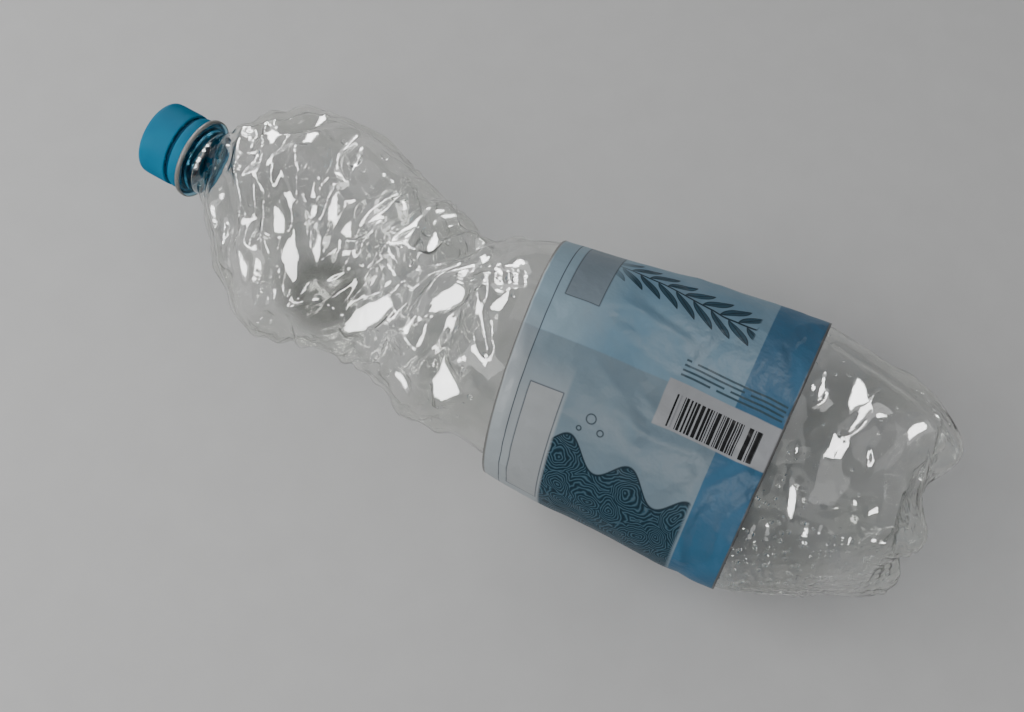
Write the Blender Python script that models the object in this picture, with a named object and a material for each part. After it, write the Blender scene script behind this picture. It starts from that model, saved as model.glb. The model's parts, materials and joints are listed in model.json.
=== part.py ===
"""Crushed 1.5 litre drinks bottle, lying on its side with its cap on.

Four pieces: the blown bottle with its neck finish, the screw cap, the tamper band
left behind on the neck, and the wrap-round label. Lengths in this file are in
millimetres until a mesh is finished, and are then scaled to metres. The bottle lies
along X, with the cap towards -X and the base towards +X, and rests on Z = 0.
"""
import math
import random

import bmesh
import bpy
from mathutils import Matrix, Vector

MM = 0.001  # metres in a millimetre
TURN = 2 * math.pi

# Neck and closure: sizes of a 28 mm carbonated drinks finish, as distances along
# the neck's axis from the cap's top face, and radii.
CAP_TOP_CENTRE = Vector((-164.9, 8.2, 40.0))
NECK_YAW = math.radians(-4.8)  # how far the neck turns away from X
MOUTH_START = 1.8
BORE_RADIUS = 10.9
THREAD_ROOT_RADIUS = 12.45
MOUTH_CHAMFER = 0.35
CAP_RADIUS = 14.95
CAP_LENGTH = 13.1
CAP_TOP_THICKNESS = 1.5
CAP_INNER_RADIUS = 13.95
CAP_EDGE_ROUNDING = 1.7
PLUG_OUTER_RADIUS = 10.5
PLUG_INNER_RADIUS = 9.5
PLUG_END = 4.2
BEAD_START = 13.4
BEAD_END = 14.15
BEAD_RADIUS = 13.75
BEAD_SLOPE = 0.5  # length of the bead's sloping side, towards the mouth
BEAD_UNDERCUT = 0.15  # length of its other side, which holds the tamper band back
BAND_START = 14.5
BAND_END = 18.9
BAND_RADIUS = 14.8
BAND_END_RADIUS = 14.5
BAND_INNER_RADIUS = 13.15
NECK_RADIUS = 12.6
RING_START = 19.25
RING_END = 21.2
RING_RADIUS = 16.3
RING_ROUNDING = 0.3
NECK_FOOT_RADIUS = 13.0
NECK_FOOT = 24.6
ROUND_STEPS = 48

# The crushed wall, station by station along the bottle: X, Y of the middle, Z of the
# middle, half width, half height, and how strongly the wall is crumpled there.
STATIONS = (
    (-138.0, 6.2, 39.9, 13.6, 13.6, 0.00),
    (-133.0, 6.4, 39.4, 18.5, 17.8, 0.35),
    (-126.0, 6.4, 38.4, 26.8, 24.5, 0.60),
    (-118.0, 5.8, 37.2, 34.7, 30.0, 0.85),
    (-109.0, 4.3, 36.2, 42.6, 33.2, 1.00),
    (-99.0, 1.4, 35.6, 47.0, 34.6, 1.00),
    (-88.0, -0.3, 35.1, 48.4, 34.7, 1.00),
    (-77.0, -0.3, 34.7, 45.6, 34.2, 1.00),
    (-66.0, -1.0, 34.7, 41.2, 33.2, 1.00),
    (-55.0, -3.3, 35.1, 38.2, 32.2, 1.00),
    (-44.0, -7.3, 35.7, 37.6, 31.8, 1.00),
    (-34.0, -12.0, 36.9, 36.9, 32.8, 1.00),
    (-24.0, -15.4, 38.8, 36.2, 35.0, 0.90),
    (-14.0, -14.6, 41.0, 37.0, 38.0, 0.65),
    (-5.0, -13.0, 42.6, 38.2, 41.4, 0.12),
    (6.0, -12.8, 43.8, 41.0, 43.0, 0.00),
    (30.0, -13.2, 42.8, 45.8, 42.2, 0.00),
    (55.0, -10.6, 40.0, 49.8, 39.5, 0.00),
    (80.0, -8.5, 36.6, 53.0, 36.1, 0.00),
    (102.0, -6.8, 34.6, 54.6, 34.1, 0.00),
    (111.0, -6.5, 35.4, 52.8, 35.0, 0.30),
    (120.0, -6.6, 37.2, 49.4, 36.9, 0.40),
    (129.0, -7.0, 39.2, 46.2, 39.0, 0.35),
    (137.0, -6.0, 40.8, 42.2, 40.6, 0.25),
)
FOLDS_ROUND = 16  # folded facets side by side around the wall
WALL_COLUMNS = 2 * FOLDS_ROUND
FOLD_DEPTH = 3.0  # how far a fold's corner stands in or out of the mean wall
FOLD_REGULAR = 0.55  # share of that depth that goes in and out by turns
FOLD_IRREGULAR = 0.75  # share of it that is by chance
CREASE_DEPTH = 1.1  # how far the smaller creases between corners stand in or out
CORNER_DRIFT = 0.24  # how far corners stray, in spacings of corners
FULL_DRIFT_CRUMPLE = 0.67  # corners stray fully where the wall is crumpled this much
TWIST_START, TWIST_END = -80.0, -20.0
TWIST = math.radians(-70)  # the base half is wrung this far against the neck half
CRUMPLE_SEED = 5
WALL_THICKNESS = 0.35
SHOULDER_THICKNESS = 1.3
SHOULDER_END = -126.0

# Five moulded feet of the base: for each ring of the base, X and radius through a
# foot, then X and radius through the valley between two feet.
BASE_RINGS = (
    (142.0, 41.2, 141.2, 40.0),
    (147.5, 40.4, 145.6, 37.6),
    (153.0, 38.4, 149.2, 33.4),
    (158.0, 35.2, 151.4, 28.8),
    (161.4, 31.0, 152.4, 23.8),
    (161.8, 25.6, 152.8, 19.0),
    (157.0, 19.0, 152.5, 13.8),
    (152.6, 11.4, 151.8, 8.6),
    (151.2, 4.8, 151.0, 4.2),
)
BASE_CENTRE_X = 150.5
BASE_MIDDLE = Vector((0.0, -4.8, 40.6))
FEET = 5
FIRST_FOOT = math.radians(65)
FOOT_SHARPNESS = 1.3

# Label
LABEL_LEFT_X = 8.2
LABEL_LEFT_SLANT = -0.10  # the cap-side edge lies askew: X gained for each Y
LABEL_LEFT_MIDDLE_Y = -11.0
LABEL_RIGHT_X = 103.2
LABEL_GAP = 0.45
LABEL_THICKNESS = 0.2
LABEL_SLACK = 4.5  # how far the cap-side edge stands off the wall on the -Y side
LABEL_LIFT = 0.3  # the film hangs this far above the ground, under the wall's belly
LABEL_REACH = (-4.0, 109.0)  # where the wall's underside keeps clear for the label, in X
LABEL_COLUMNS = 48
LABEL_ROWS = 12


def clear_scene():
    for thing in list(bpy.data.objects):
        bpy.data.objects.remove(thing, do_unlink=True)


def make_material(name, colour, roughness, transmission=0.0):
    material = bpy.data.materials.new(name)
    material.use_nodes = True
    shader = material.node_tree.nodes["Principled BSDF"]
    shader.inputs["Base Color"].default_value = (*colour, 1.0)
    shader.inputs["Roughness"].default_value = roughness
    shader.inputs["Metallic"].default_value = 0.0
    shader.inputs["Transmission Weight"].default_value = transmission
    return material


def finish_object(name, mesh_builder, material, place=None, smooth=True):
    """Scale a finished bmesh to metres and put it in the scene as one named object."""
    bmesh.ops.recalc_face_normals(mesh_builder, faces=mesh_builder.faces)
    bmesh.ops.scale(mesh_builder, vec=(MM, MM, MM), verts=mesh_builder.verts)
    for face in mesh_builder.faces:
        face.smooth = smooth
    mesh = bpy.data.meshes.new(name)
    mesh_builder.to_mesh(mesh)
    mesh_builder.free()
    mesh.materials.append(material)
    thing = bpy.data.objects.new(name, mesh)
    bpy.context.collection.objects.link(thing)
    if place is not None:
        thing.matrix_world = place
    return thing


# ---------------------------------------------------------------- neck geometry

def neck_axes():
    """The direction from the cap to the bottle, and two directions across it."""
    along = Vector((math.cos(NECK_YAW), math.sin(NECK_YAW), 0.0))
    up = Vector((0.0, 0.0, 1.0))
    across = up.cross(along)
    return along, across, up


def neck_ring(distance, radius, count):
    """Points of a circle around the neck's axis."""
    along, across, up = neck_axes()
    centre = CAP_TOP_CENTRE + along * distance
    points = []
    for step in range(count):
        angle = TURN * step / count
        points.append(centre + radius * (math.cos(angle) * across + math.sin(angle) * up))
    return points


def neck_outside():
    """Distance and radius of each ring of the neck finish, from mouth to shoulder."""
    return (
        (MOUTH_START, THREAD_ROOT_RADIUS - MOUTH_CHAMFER),
        (MOUTH_START + MOUTH_CHAMFER, THREAD_ROOT_RADIUS),
        (BEAD_START - BEAD_SLOPE, THREAD_ROOT_RADIUS),
        (BEAD_START, BEAD_RADIUS),
        (BEAD_END, BEAD_RADIUS),
        (BEAD_END + BEAD_UNDERCUT, NECK_RADIUS),
        (RING_START, NECK_RADIUS),
        (RING_START, RING_RADIUS - RING_ROUNDING),
        (RING_START + RING_ROUNDING, RING_RADIUS),
        (RING_END - RING_ROUNDING, RING_RADIUS),
        (RING_END, RING_RADIUS - RING_ROUNDING),
        (RING_END, NECK_FOOT_RADIUS),
        (NECK_FOOT, NECK_FOOT_RADIUS),
    )


def neck_inside():
    """The same for the bore."""
    return (
        (MOUTH_START, BORE_RADIUS),
        (RING_START, BORE_RADIUS),
        (NECK_FOOT, NECK_FOOT_RADIUS - SHOULDER_THICKNESS),
    )


# ---------------------------------------------------------------- crushed wall

def station_value(x, column):
    """A station column at X, on a smooth curve through the stations."""
    last = len(STATIONS) - 1
    if x <= STATIONS[0][0]:
        return STATIONS[0][column]
    if x >= STATIONS[last][0]:
        return STATIONS[last][column]
    right = next(i for i in range(1, last + 1) if x <= STATIONS[i][0])
    left = right - 1
    span = STATIONS[right][0] - STATIONS[left][0]
    share = (x - STATIONS[left][0]) / span

    def slope(index):
        before, after = max(index - 1, 0), min(index + 1, last)
        rise = STATIONS[after][column] - STATIONS[before][column]
        return rise / (STATIONS[after][0] - STATIONS[before][0])

    low, high = STATIONS[left][column], STATIONS[right][column]
    square, cube = share ** 2, share ** 3
    return (
        (2 * cube - 3 * square + 1) * low
        + (cube - 2 * square + share) * span * slope(left)
        + (3 * square - 2 * cube) * high
        + (cube - square) * span * slope(right)
    )


def crumple_at(x):
    return min(max(station_value(x, 5), 0.0), 1.0)


def twist_at(x):
    share = min(max((x - TWIST_START) / (TWIST_END - TWIST_START), 0.0), 1.0)
    return TWIST * share * share * (3 - 2 * share)


def wall_point(x, turn, out):
    """A point of the wall: X, how far round it is in turns, and how far it stands out."""
    angle = TURN * turn + twist_at(x)
    half_width = station_value(x, 3) + out
    half_height = station_value(x, 4) + out
    return Vector((
        x,
        station_value(x, 1) + half_width * math.cos(angle),
        station_value(x, 2) + half_height * math.sin(angle),
    ))


def rest_on_ground(point, lowest=0.0):
    """The wall lies flat where it meets the ground or the label."""
    point.z = max(point.z, lowest)
    return point


def lowest_wall(x):
    under_label = LABEL_REACH[0] < x < LABEL_REACH[1]
    return LABEL_LIFT + LABEL_THICKNESS + LABEL_GAP if under_label else 0.0


def fold_corners():
    """The corners of the folds: rings of points, every second ring half a step round."""
    chance = random.Random(CRUMPLE_SEED)
    rings = []
    for index, station in enumerate(STATIONS):
        neighbours = STATIONS[max(index - 1, 0)][0], STATIONS[min(index + 1, len(STATIONS) - 1)][0]
        spacing = (neighbours[1] - neighbours[0]) / 2
        crumple = station[5]
        drift = CORNER_DRIFT * min(crumple / FULL_DRIFT_CRUMPLE, 1)
        ring = {}
        for column in range(FOLDS_ROUND):
            step = 2 * column + index % 2
            drift_x = chance.uniform(-1, 1) * drift * spacing
            drift_turn = chance.uniform(-1, 1) * drift / FOLDS_ROUND
            regular = FOLD_REGULAR if (column + index // 2) % 2 else -FOLD_REGULAR
            irregular = chance.uniform(-FOLD_IRREGULAR, FOLD_IRREGULAR)
            depth = (regular + irregular) * FOLD_DEPTH * crumple
            ring[step] = (station[0] + drift_x, step / WALL_COLUMNS + drift_turn, depth)
        rings.append(ring)
    return rings


def between(first, second, wrap, chance):
    """The middle of two fold corners, creased a little, flat where the wall is crushed."""
    x = (first[0] + second[0]) / 2
    turn = (first[1] + second[1] + wrap) / 2
    crumple = crumple_at(x)
    crease = chance.uniform(-1, 1) * CREASE_DEPTH * crumple
    curved = wall_point(x, turn, (first[2] + second[2]) / 2 + crease)
    ends = wall_point(*first), wall_point(second[0], second[1] + wrap, second[2])
    flat = (ends[0] + ends[1]) / 2
    outward = (wall_point(x, turn, 1.0) - wall_point(x, turn, 0.0)) * crease
    return curved.lerp(flat + outward, min(crumple, 1.0))


def wall_rows():
    """All rows of the crushed wall from shoulder to base, corners and creases."""
    chance = random.Random(CRUMPLE_SEED + 1)
    rings = fold_corners()
    rows = []
    for index, ring in enumerate(rings):
        row = []
        for step in range(WALL_COLUMNS):
            if step in ring:
                row.append(wall_point(*ring[step]))
                continue
            before = ring[(step - 1) % WALL_COLUMNS]
            after = ring[(step + 1) % WALL_COLUMNS]
            if step == 0:
                before, after = after, before
            wraps = step in (0, WALL_COLUMNS - 1)
            row.append(between(before, after, (-1 if step == 0 else 1) if wraps else 0, chance))
        rows.append(row)
        if index == len(rings) - 1:
            break
        following = rings[index + 1]
        row = []
        for step in range(WALL_COLUMNS):
            here = step if step in ring else (step + 1) % WALL_COLUMNS
            there = (step + 1) % WALL_COLUMNS if here == step else step
            first, second = ring[here], following[there]
            if step == WALL_COLUMNS - 1:
                if here == 0:
                    first = (first[0], first[1] + 1, first[2])
                else:
                    second = (second[0], second[1] + 1, second[2])
            row.append(between(first, second, 0, chance))
        rows.append(row)
    return [[rest_on_ground(point, lowest_wall(point.x)) for point in row] for row in rows]


def base_rows():
    """The moulded base: five feet around a hollow, which stayed stiff."""
    rows = []
    for foot_x, foot_radius, valley_x, valley_radius in BASE_RINGS:
        row = []
        for step in range(WALL_COLUMNS):
            angle = TURN * step / WALL_COLUMNS + TWIST
            wave = 0.5 + 0.5 * math.cos(FEET * (angle - FIRST_FOOT))
            foot = wave ** FOOT_SHARPNESS
            x = foot * foot_x + (1 - foot) * valley_x
            radius = foot * foot_radius + (1 - foot) * valley_radius
            y = BASE_MIDDLE.y + radius * math.cos(angle)
            z = BASE_MIDDLE.z + radius * math.sin(angle)
            row.append(rest_on_ground(Vector((x, y, z))))
        rows.append(row)
    return rows


def stitch(builder, first, second, shift, inward):
    """Faces between two rows. shift says how the second row lies: 0 level with the
    first, 1 half a step after it, -1 half a step before it."""
    count = len(first)
    for step in range(count):
        after = (step + 1) % count
        if shift == 1:
            triangles = (
                (first[step], first[after], second[step]),
                (first[after], second[after], second[step]),
            )
        elif shift == -1:
            triangles = (
                (first[step], second[after], second[step]),
                (first[step], first[after], second[after]),
            )
        else:
            triangles = (
                (first[step], first[after], second[after]),
                (first[step], second[after], second[step]),
            )
        for triangle in triangles:
            builder.faces.new(triangle[::-1] if inward else triangle)


def make_bottle(material):
    """One closed body: outside from mouth to base, inside from base back to mouth."""
    builder = bmesh.new()
    outside = [neck_ring(distance, radius, WALL_COLUMNS) for distance, radius in neck_outside()]
    wall = wall_rows()
    neck_count, wall_count = len(outside), len(wall)
    outside += wall + base_rows()
    shifts = [0] * neck_count
    shifts += [1 if index % 2 == 0 else -1 for index in range(wall_count - 1)]
    shifts += [0] * len(BASE_RINGS)
    outer = [[builder.verts.new(point) for point in row] for row in outside]
    for index in range(len(outer) - 1):
        stitch(builder, outer[index], outer[index + 1], shifts[index], False)
    base = BASE_MIDDLE.copy()
    base.x = BASE_CENTRE_X
    pole = builder.verts.new(base)
    close_pole(builder, outer[-1], pole, False)
    builder.normal_update()

    bore = [neck_ring(distance, radius, WALL_COLUMNS) for distance, radius in neck_inside()]
    inner = [[builder.verts.new(point) for point in row] for row in bore]
    for row in outer[neck_count:]:
        inner.append([
            builder.verts.new(vert.co - vert.normal * wall_thickness(vert.co.x)) for vert in row
        ])
    inner_shifts = [0] * len(bore) + shifts[neck_count:]
    inner_pole = builder.verts.new(pole.co - pole.normal * WALL_THICKNESS)
    for index in range(len(inner) - 1):
        stitch(builder, inner[index], inner[index + 1], inner_shifts[index], True)
    close_pole(builder, inner[-1], inner_pole, True)
    stitch(builder, outer[0], inner[0], 0, True)
    return finish_object("bottle", builder, material)


def wall_thickness(x):
    start = STATIONS[0][0]
    share = min(max((x - start) / (SHOULDER_END - start), 0.0), 1.0)
    return SHOULDER_THICKNESS + (WALL_THICKNESS - SHOULDER_THICKNESS) * share


def close_pole(builder, row, pole, inward):
    for step, vert in enumerate(row):
        corners = (vert, row[(step + 1) % len(row)], pole)
        builder.faces.new(corners[::-1] if inward else corners)


# ---------------------------------------------------------------- turned pieces

def turned(profile, steps):
    """A closed ring or disc: the profile of (radius, height) pairs, spun about Z."""
    builder = bmesh.new()
    verts = [builder.verts.new((radius, 0.0, height)) for radius, height in profile]
    edges = [builder.edges.new(pair) for pair in zip(verts, verts[1:])]
    if profile[0][0] > 0:
        edges.append(builder.edges.new((verts[-1], verts[0])))
    bmesh.ops.spin(
        builder, geom=verts + edges, cent=(0, 0, 0), axis=(0, 0, 1),
        angle=TURN, steps=steps, use_merge=True,
    )
    bmesh.ops.remove_doubles(builder, verts=builder.verts, dist=1e-4)
    return builder


def neck_place():
    """A turned piece's place: origin on the neck's axis, +Z pointing out of the mouth."""
    along, _, up = neck_axes()
    z_axis = -along
    x_axis = up.cross(z_axis)
    turn = Matrix((x_axis, up, z_axis)).transposed().to_4x4()
    turn.translation = CAP_TOP_CENTRE * MM
    return turn


def make_cap(material):
    """Screw cap: shell with rounded shoulder, and the plug that seals the bore."""
    rim = CAP_RADIUS - CAP_EDGE_ROUNDING
    arc = [
        (
            rim + CAP_EDGE_ROUNDING * math.sin(math.radians(angle)),
            -CAP_EDGE_ROUNDING + CAP_EDGE_ROUNDING * math.cos(math.radians(angle)),
        )
        for angle in (0, 22.5, 45, 67.5, 90)
    ]
    profile = [(0.0, 0.0)] + arc + [
        (CAP_RADIUS, -CAP_LENGTH),
        (CAP_INNER_RADIUS, -CAP_LENGTH),
        (CAP_INNER_RADIUS, -CAP_TOP_THICKNESS),
        (PLUG_OUTER_RADIUS, -CAP_TOP_THICKNESS),
        (PLUG_OUTER_RADIUS, -PLUG_END),
        (PLUG_INNER_RADIUS, -PLUG_END),
        (PLUG_INNER_RADIUS, -CAP_TOP_THICKNESS),
        (0.0, -CAP_TOP_THICKNESS),
    ]
    return finish_object("cap", turned(profile, ROUND_STEPS), material, neck_place())


def make_tamper_band(material):
    profile = [
        (BAND_INNER_RADIUS, -BAND_START),
        (BAND_RADIUS, -BAND_START),
        (BAND_END_RADIUS, -BAND_END),
        (BAND_INNER_RADIUS, -BAND_END),
    ]
    return finish_object("tamper_band", turned(profile, ROUND_STEPS), material, neck_place())


# ---------------------------------------------------------------- label

def label_row(share, out, lowest):
    """One ring of the label. share runs from its cap-side edge to its base-side edge."""
    row = []
    for step in range(LABEL_COLUMNS):
        turn = step / LABEL_COLUMNS
        across = wall_point(LABEL_LEFT_X, turn, 0.0).y - LABEL_LEFT_MIDDLE_Y
        left = LABEL_LEFT_X + LABEL_LEFT_SLANT * across
        x = left + share * (LABEL_RIGHT_X - left)
        slack = LABEL_SLACK * max(-math.cos(TURN * turn + twist_at(x)), 0) ** 2 * (1 - share) ** 3
        row.append(rest_on_ground(wall_point(x, turn, out + slack), lowest))
    return row


def make_label(material):
    """A thin film sleeve that follows the wall, open at both ends."""
    builder = bmesh.new()
    shares = [index / LABEL_ROWS for index in range(LABEL_ROWS + 1)]
    skins = []
    outer_out, inner_out = LABEL_GAP + LABEL_THICKNESS, LABEL_GAP
    outer_low, inner_low = LABEL_LIFT, LABEL_LIFT + LABEL_THICKNESS
    for out, lowest in ((outer_out, outer_low), (inner_out, inner_low)):
        rows = [label_row(share, out, lowest) for share in shares]
        skins.append([[builder.verts.new(point) for point in row] for row in rows])
    outer, inner = skins
    for index in range(LABEL_ROWS):
        stitch(builder, outer[index], outer[index + 1], 0, False)
        stitch(builder, inner[index], inner[index + 1], 0, True)
    stitch(builder, outer[0], inner[0], 0, True)
    stitch(builder, outer[-1], inner[-1], 0, False)
    return finish_object("label", builder, material)


# ---------------------------------------------------------------- assembly

def centre_on_ground(things):
    """Move all pieces so that the box around them stands centred on the origin."""
    bpy.context.view_layer.update()
    corners = [thing.matrix_world @ vert.co for thing in things for vert in thing.data.vertices]
    low = Vector([min(corner[axis] for corner in corners) for axis in range(3)])
    high = Vector([max(corner[axis] for corner in corners) for axis in range(3)])
    shift = Vector((-(low.x + high.x) / 2, -(low.y + high.y) / 2, -low.z))
    for thing in things:
        if thing.name in ("cap", "tamper_band"):
            thing.location += shift
        else:
            thing.data.transform(Matrix.Translation(shift))
    print("moved to the middle by", tuple(round(value, 6) for value in shift))


clear_scene()
clear_plastic = make_material("clear_pet", (0.93, 0.96, 0.97), 0.05, transmission=1.0)
blue_plastic = make_material("blue_cap_plastic", (0.008, 0.195, 0.315), 0.38)
printed_film = make_material("printed_label_film", (0.13, 0.21, 0.28), 0.40)
centre_on_ground([
    make_bottle(clear_plastic),
    make_cap(blue_plastic),
    make_tamper_band(blue_plastic),
    make_label(printed_film),
])
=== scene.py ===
"""A crushed clear drinks bottle lying on its side with its cap on, on a pale table.

The script follows the bottle as it is put together: the blown wall, the neck, the
drops of water left inside, the cap, the tamper band and the label. Lengths are in
metres unless a name or comment says millimetres.
"""

import json
import math
import random

import bmesh
import bpy
from mathutils import Matrix, Vector, noise
from mathutils.bvhtree import BVHTree


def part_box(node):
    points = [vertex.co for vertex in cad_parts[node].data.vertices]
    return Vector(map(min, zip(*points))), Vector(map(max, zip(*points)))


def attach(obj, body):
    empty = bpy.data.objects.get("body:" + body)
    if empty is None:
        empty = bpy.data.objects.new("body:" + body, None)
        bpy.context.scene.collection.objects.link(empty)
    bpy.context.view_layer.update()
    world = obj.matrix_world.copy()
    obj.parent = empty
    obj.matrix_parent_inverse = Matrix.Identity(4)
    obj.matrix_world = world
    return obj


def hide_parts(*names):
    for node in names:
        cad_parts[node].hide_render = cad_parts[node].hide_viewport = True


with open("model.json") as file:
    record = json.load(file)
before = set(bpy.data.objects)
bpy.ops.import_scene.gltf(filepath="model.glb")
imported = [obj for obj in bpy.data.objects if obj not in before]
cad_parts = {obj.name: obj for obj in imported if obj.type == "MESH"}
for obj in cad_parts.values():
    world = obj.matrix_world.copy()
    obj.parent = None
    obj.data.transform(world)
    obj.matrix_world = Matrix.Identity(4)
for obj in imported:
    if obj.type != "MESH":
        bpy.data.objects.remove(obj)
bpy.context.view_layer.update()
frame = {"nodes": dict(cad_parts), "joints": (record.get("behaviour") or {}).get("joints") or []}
MM = 0.001
TURN = 2 * math.pi
NOISE_SEED = 5  # without it, every run would fold the wall differently
noise.seed_set(NOISE_SEED)


# ---------------------------------------------------------------- table, light, camera
# The bottle lies on a plain pale table, much larger than itself. Three broad soft lamps
# light it, most of it from the left. Bright windows and larger, fainter panes further
# off show only as reflections.
VIEW_CENTRE = Vector((0.0045, -0.0104, 0.04))
TO_CAMERA = Vector((0.1875, -0.3787, 0.9063))
CAMERA_DISTANCE = 0.5235
SIDEWAYS = Vector((0.8961, 0.4438, 0.0))  # level, to the right as the camera sees it
AWAY = Vector((-0.4438, 0.8961, 0.0))  # level, away from the camera
UPWARDS = Vector((0.0, 0.0, 1.0))

camera = bpy.data.objects.new("camera", bpy.data.cameras.new("camera"))
bpy.context.collection.objects.link(camera)
camera.location = VIEW_CENTRE + TO_CAMERA * CAMERA_DISTANCE
camera.rotation_euler = (-TO_CAMERA).to_track_quat("-Z", "Y").to_euler()
camera.data.lens = 50
camera.data.sensor_width = 36
camera.data.clip_start = 0.01
bpy.context.scene.camera = camera


def new_piece(name, builder):
    """A finished bmesh as an object of that name at the origin."""
    mesh = bpy.data.meshes.new(name)
    builder.to_mesh(mesh)
    builder.free()
    piece = bpy.data.objects.new(name, mesh)
    bpy.context.collection.objects.link(piece)
    return piece


def new_material(name, base_colour, roughness, specular=0.5):
    """A Principled material with an empty node tree around it: (material, nodes, links, shader)."""
    material = bpy.data.materials.new(name)
    material.use_nodes = True
    nodes, links = material.node_tree.nodes, material.node_tree.links
    shader = nodes["Principled BSDF"]
    shader.inputs["Base Color"].default_value = (*base_colour, 1.0)
    shader.inputs["Roughness"].default_value = roughness
    shader.inputs["Specular IOR Level"].default_value = specular
    return material, nodes, links, shader


def noise_texture(nodes, links, scale, detail=2.0, roughness=0.5):
    """Noise on Object coordinates, scale in waves per metre."""
    coordinates = nodes.new("ShaderNodeTexCoord")
    texture = nodes.new("ShaderNodeTexNoise")
    texture.inputs["Scale"].default_value = scale
    texture.inputs["Detail"].default_value = detail
    texture.inputs["Roughness"].default_value = roughness
    links.new(coordinates.outputs["Object"], texture.inputs["Vector"])
    return texture


def colour_ramp(nodes, links, factor, stops):
    """Colours between stops, each a position and a colour, as the factor says."""
    ramp = nodes.new("ShaderNodeValToRGB")
    ramp.color_ramp.elements[0].position = stops[0][0]
    ramp.color_ramp.elements[0].color = (*stops[0][1], 1.0)
    ramp.color_ramp.elements[1].position = stops[-1][0]
    ramp.color_ramp.elements[1].color = (*stops[-1][1], 1.0)
    for position, colour in stops[1:-1]:
        element = ramp.color_ramp.elements.new(position)
        element.color = (*colour, 1.0)
    links.new(factor, ramp.inputs["Fac"])
    return ramp.outputs["Color"]


def bump(nodes, links, height, shader, strength, distance):
    """Let a height texture roughen a shader's surface."""
    node = nodes.new("ShaderNodeBump")
    node.inputs["Strength"].default_value = strength
    node.inputs["Distance"].default_value = distance
    links.new(height, node.inputs["Height"])
    links.new(node.outputs["Normal"], shader.inputs["Normal"])


builder = bmesh.new()
bmesh.ops.create_grid(builder, x_segments=1, y_segments=1, size=3.0)
table = new_piece("table", builder)
material, nodes, links, shader = new_material("table_paint", (0.62, 0.62, 0.62), 0.9, 0.1)
mottle = noise_texture(nodes, links, 60.0, 3.0)
links.new(
    colour_ramp(nodes, links, mottle.outputs["Fac"],
                [(0.3, (0.61, 0.605, 0.598)), (0.7, (0.63, 0.626, 0.618))]),
    shader.inputs["Base Color"],
)
table.data.materials.append(material)

world = bpy.data.worlds.new("room")
bpy.context.scene.world = world
world.use_nodes = True
background = world.node_tree.nodes["Background"]
background.inputs["Color"].default_value = (0.95, 0.97, 1.0, 1.0)
background.inputs["Strength"].default_value = 0.25


def add_lamp(name, direction, distance, width, height, radiance):
    """An area lamp that faces the bottle and looks as bright as radiance says."""
    light = bpy.data.lights.new(name, "AREA")
    light.shape = "RECTANGLE"
    light.size, light.size_y = width, height
    light.energy = radiance * math.pi * width * height
    lamp = bpy.data.objects.new(name, light)
    bpy.context.collection.objects.link(lamp)
    direction = direction.normalized()
    lamp.location = direction * distance
    lamp.rotation_euler = (-direction).to_track_quat("-Z", "Y").to_euler()
    return lamp


# Seen in a mirror or through the clear wall, the soft lamps would show as pale squares.
SOFT_LAMPS = (  # sideways, away, upwards, distance, size, radiance
    (-1.0, -0.1, 0.9, 1.1, 0.95, 3.45),
    (0.0, 0.9, 1.1, 2.0, 1.2, 0.60),
    (-0.6, -1.0, 0.9, 2.0, 1.1, 0.60),
)
for number, (side, away, up, distance, size, radiance) in enumerate(SOFT_LAMPS, 1):
    direction = side * SIDEWAYS + away * AWAY + up * UPWARDS
    lamp = add_lamp(f"soft_lamp_{number}", direction, distance, size, size, radiance)
    lamp.visible_glossy = False
    lamp.visible_transmission = False
WINDOWS = (  # sideways, away, upwards, width, height
    (-0.28, 0.92, 0.25, 0.50, 0.40),
    (-0.41, 0.70, 0.58, 0.50, 0.40),
    (-0.52, 0.47, 0.71, 0.50, 0.40),
    (-0.77, -0.01, 0.64, 0.46, 0.37),
    (-0.84, -0.31, 0.44, 0.46, 0.37),
    (0.67, 0.34, 0.66, 0.46, 0.37),
    (0.18, -0.65, 0.74, 0.46, 0.37),
    (0.02, -0.98, 0.20, 0.17, 0.14),
)
WINDOW_RADIANCE, WINDOW_DISTANCE = 40, 2.0
PALE_PANES = (  # sideways, away, upwards, width, height, radiance
    (-0.34, 0.84, 0.43, 1.3, 1.1, 2.2),
    (-0.85, -0.33, 0.42, 1.2, 1.0, 2.2),
    (-0.72, 0.16, 0.68, 1.1, 1.0, 1.0),
    (0.70, 0.30, 0.66, 1.0, 0.9, 1.2),
    (0.10, 0.30, 0.95, 2.2, 1.9, 0.6),
)
window_directions = []
for number, (side, away, up, width, height) in enumerate(WINDOWS, 1):
    direction = (side * SIDEWAYS + away * AWAY + up * UPWARDS).normalized()
    window = add_lamp(
        f"window_{number}", direction, WINDOW_DISTANCE, width, height, WINDOW_RADIANCE
    )
    window.visible_diffuse = False
    window_directions.append(direction)
for number, (side, away, up, width, height, radiance) in enumerate(PALE_PANES, 1):
    direction = side * SIDEWAYS + away * AWAY + up * UPWARDS
    distance = 2.2 + 0.05 * number  # behind the windows and behind each other
    pane = add_lamp(f"pale_pane_{number}", direction, distance, width, height, radiance)
    pane.visible_diffuse = False


# ---------------------------------------------------------------- the bottle's wall
# The real wall is clear PET, blown to about 0.3 mm and then crushed: sharp creases run
# round it, tilted, with flat facets between them. The moulded base kept its shape.
neck_joint = next(j for j in frame["joints"] if j["name"] == "band_turn")
CAP_TOP = Vector(neck_joint["pos_m"])
OUT_OF_NECK = Vector(neck_joint["axis"]).normalized()
MOUTH_DEPTH = 1.8 * MM  # from the cap's top to the bottle's mouth, along the neck
NECK_FOOT_DEPTH = 24.6 * MM  # and to the neck's foot
SPLIT_X = 0.020  # the crushed part and the lower part meet here, under the label
WALL = 0.38 * MM
BASE_WALL = 0.7 * MM  # the moulded base is thicker than the blown wall
BASE_START, BASE_FULL = 0.150, 0.159  # along X


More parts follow.
